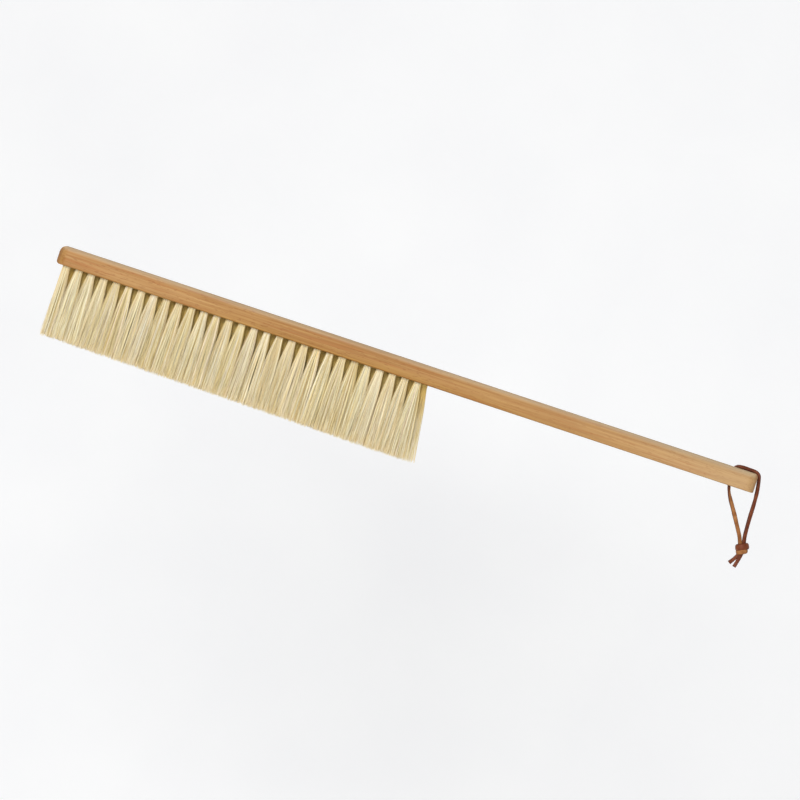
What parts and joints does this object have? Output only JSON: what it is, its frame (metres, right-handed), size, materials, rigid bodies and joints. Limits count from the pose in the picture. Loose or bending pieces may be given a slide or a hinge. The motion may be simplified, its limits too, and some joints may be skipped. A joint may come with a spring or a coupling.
{
  "type": "bee brush",
  "caption": "Long straight beech brush with staggered rows of soft pale bristle tufts for sweeping bees off a comb, and a knotted leather lace to hang it by.",
  "frame": {"origin": "the middle of the stock's rear side, the flat face that the brush lies on, halfway along its length", "axes": "+X from the toe end along the stock to the handle end, +Z from the bristle face to the back, so the bristles point along -Z; +Y across the stock, with the front row of tufts on the -Y side"},
  "size_m": [0.4584, 0.022, 0.0615],
  "materials": {
    "beech": "satin",
    "bristle": "matte",
    "bristle_root": "matte",
    "anchor_wire": "satin",
    "lace": "satin"
  },
  "bodies": {
    "stock": {"beech_stock": "beech", "front_row_anchors": "anchor_wire", "rear_row_anchors": "anchor_wire", "front_tuft_roots": "bristle_root", "rear_tuft_roots": "bristle_root"},
    "front_bristles": {"front_tufts_01_02": "bristle", "front_tufts_03_04": "bristle", "front_tufts_05_06": "bristle", "front_tufts_07_08": "bristle", "front_tufts_09_10": "bristle", "front_tufts_11_12": "bristle", "front_tufts_13_14": "bristle", "front_tufts_15_16": "bristle", "front_tufts_17_18": "bristle", "front_tufts_19_20": "bristle", "front_tufts_21_22": "bristle", "front_tufts_23_24": "bristle", "front_tufts_25_26": "bristle", "front_tufts_27_28": "bristle", "front_tuft_29": "bristle"},
    "rear_bristles": {"rear_tufts_01_02": "bristle", "rear_tufts_03_04": "bristle", "rear_tufts_05_06": "bristle", "rear_tufts_07_08": "bristle", "rear_tufts_09_10": "bristle", "rear_tufts_11_12": "bristle", "rear_tufts_13_14": "bristle", "rear_tufts_15_16": "bristle", "rear_tufts_17_18": "bristle", "rear_tufts_19_20": "bristle", "rear_tufts_21_22": "bristle", "rear_tufts_23_24": "bristle", "rear_tufts_25_26": "bristle", "rear_tufts_27_28": "bristle", "rear_tuft_29": "bristle"},
    "lace_hanger": {"lace_bight": "lace"},
    "lace_loop": {"lace_inner_strand": "lace", "lace_outer_strand": "lace", "lace_knot": "lace"},
    "lace_tails": {"lace_short_tail": "lace", "lace_long_tail": "lace"}
  },
  "joints": [
    {"name": "front_row_flex", "type": "hinge", "parent": "stock", "child": "front_bristles", "pos_m": [-0.1047, -0.0155, -0.00861], "axis": [1, 0, 0], "range_deg": [-35, 35], "stiffness_Nm_per_rad": 0.25},
    {"name": "rear_row_flex", "type": "hinge", "parent": "stock", "child": "rear_bristles", "pos_m": [-0.10065, -0.0065, -0.00861], "axis": [1, 0, 0], "range_deg": [-35, 35], "stiffness_Nm_per_rad": 0.25},
    {"name": "lace_swivel", "type": "hinge", "parent": "stock", "child": "lace_hanger", "pos_m": [0.2094, -0.011, 0], "axis": [0, 0, 1], "range_deg": [-130, 130]},
    {"name": "loop_swing", "type": "hinge", "parent": "lace_hanger", "child": "lace_loop", "pos_m": [0.2094, -0.011, -0.0085], "axis": [1, 0, 0], "range_deg": [-80, 80]},
    {"name": "tail_flex", "type": "hinge", "parent": "lace_loop", "child": "lace_tails", "pos_m": [0.23058, -0.011, -0.04504], "axis": [0.9494, 0, 0.314], "range_deg": [-40, 40], "stiffness_Nm_per_rad": 0.0002}
  ],
  "couplings": [
    {"joint": "rear_row_flex", "follows": "front_row_flex", "ratio": 1}
  ]
}
